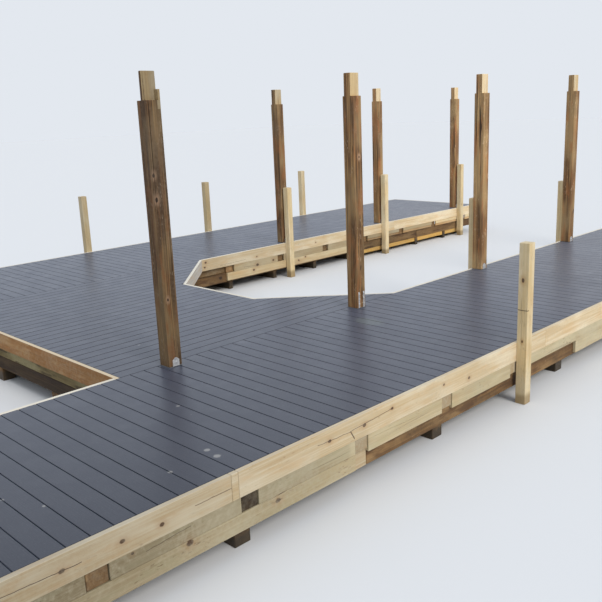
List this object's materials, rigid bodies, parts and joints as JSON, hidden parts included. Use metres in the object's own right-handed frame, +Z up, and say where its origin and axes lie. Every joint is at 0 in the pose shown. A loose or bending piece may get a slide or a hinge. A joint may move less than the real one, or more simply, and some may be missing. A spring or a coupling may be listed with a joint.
{
  "type": "jetty",
  "caption": "Wooden jetty of decked fingers joined by a bridge, with a berth between them, crib timbers below, mooring posts and tall notched roof posts",
  "frame": {"origin": "on the ground plane under the middle of the whole structure", "axes": "X along the fingers towards open water, Y across them, Z up"},
  "size_m": [14.576, 8.493, 3.165],
  "materials": {
    "decking": "matt composite board, faint embossed grain",
    "rim_board": "new pressure-treated softwood, knots and splits",
    "rim_board_stained": "softwood in shade, orange brown",
    "lower_board": "treated softwood, greenish and weathered",
    "joist": "treated softwood",
    "green_beam": "treated timber, green stain",
    "beam_end": "end grain, brown",
    "crib_timber": "old wet brown timber",
    "low_rail": "yellow treated timber",
    "tall_post": "brown treated post, drying cracks, pale cut faces",
    "mooring_post": "pale treated post",
    "galvanised_foot": "galvanised"
  },
  "bodies": {
    "root": {"near_deck": "decking", "far_deck": "decking", "bridge_deck": "decking", "corner_decks": "decking", "near_outer_rim": "rim_board", "far_outer_rim": "rim_board", "near_slip_rim": "rim_board", "far_slip_rim": "rim_board", "head_rim": "rim_board", "corner_rims": "rim_board", "bridge_shore_rim": "rim_board_stained", "shore_gap_rims": "rim_board", "end_rims": "rim_board", "near_lower_boards": "lower_board", "rim_strips": "lower_board", "far_slip_lower_board": "lower_board", "far_outer_lower_boards": "lower_board", "near_slip_lower_boards": "lower_board", "near_joists": "joist", "far_joists": "joist", "bridge_joists": "joist", "corner_joists": "joist", "near_beams": "beam_end", "far_beams": "beam_end", "bridge_beams": "green_beam", "near_crib_timbers": "crib_timber", "far_crib_timbers": "crib_timber", "bridge_crib_timbers": "crib_timber", "near_ties": "crib_timber", "far_ties": "crib_timber", "bridge_legs": "crib_timber", "far_low_rails": "low_rail", "near_post_1": "tall_post", "near_post_2": "tall_post", "near_post_3": "tall_post", "near_post_4": "tall_post", "near_post_5": "tall_post", "far_post_1": "tall_post", "far_post_2": "tall_post", "far_post_3": "tall_post", "near_outer_mooring_posts": "mooring_post", "near_slip_mooring_posts": "mooring_post", "far_slip_mooring_posts": "mooring_post", "far_outer_mooring_posts": "mooring_post", "post_feet": "galvanised_foot"}
  },
  "joints": []
}
